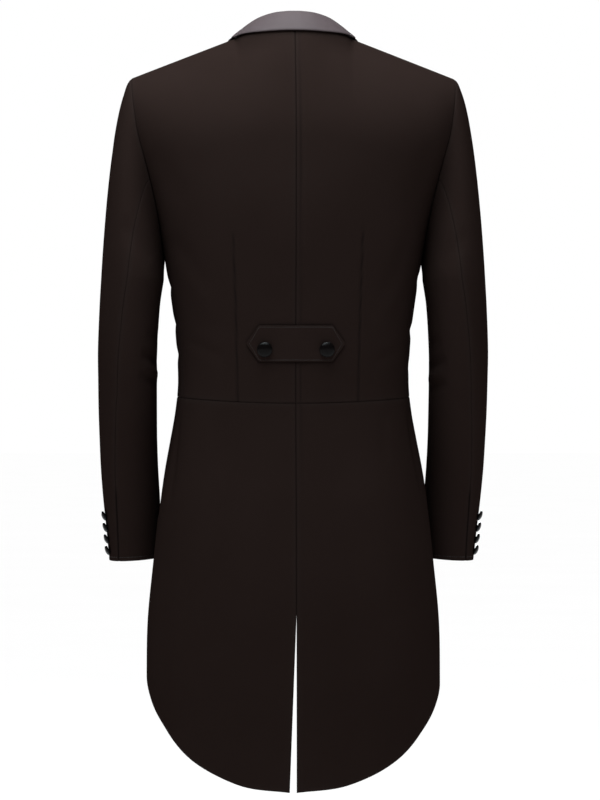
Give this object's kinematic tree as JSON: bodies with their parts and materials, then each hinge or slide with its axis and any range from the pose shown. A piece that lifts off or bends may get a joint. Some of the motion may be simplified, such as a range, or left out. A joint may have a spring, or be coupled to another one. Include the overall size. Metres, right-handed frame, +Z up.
{
  "type": "tailcoat",
  "caption": "Worn-shape tailcoat with a satin collar and lapels, a waist seam, a pointed half-belt, a cutaway skirt and a centre back vent.",
  "frame": {"origin": "middle of the neck opening, level with the side neck points, where the wearer's shoulders carry the coat", "axes": "+Z up, +Y to the coat's back, +X to the wearer's left; the front faces -Y"},
  "size_m": [0.5388, 0.27, 1.0602],
  "materials": {
    "cloth": "fine dark worsted wool, matt with a faint nap sheen",
    "satin": "charcoal satin, soft sheen",
    "button": "cloth-covered button, slight gloss on its rim"
  },
  "bodies": {
    "root": {"back_left": "cloth", "side_left": "cloth", "front_left": "cloth", "skirt_left": "cloth", "sleeve_top_left": "cloth", "sleeve_under_left": "cloth", "lapel_left": "satin", "belt_button_left": "button", "cuff_button_left_1": "button", "cuff_button_left_2": "button", "cuff_button_left_3": "button", "cuff_button_left_4": "button", "back_right": "cloth", "side_right": "cloth", "front_right": "cloth", "skirt_right": "cloth", "sleeve_top_right": "cloth", "sleeve_under_right": "cloth", "lapel_right": "satin", "belt_button_right": "button", "cuff_button_right_1": "button", "cuff_button_right_2": "button", "cuff_button_right_3": "button", "cuff_button_right_4": "button", "collar": "satin", "half_belt": "cloth", "front_button": "button"}
  },
  "joints": []
}
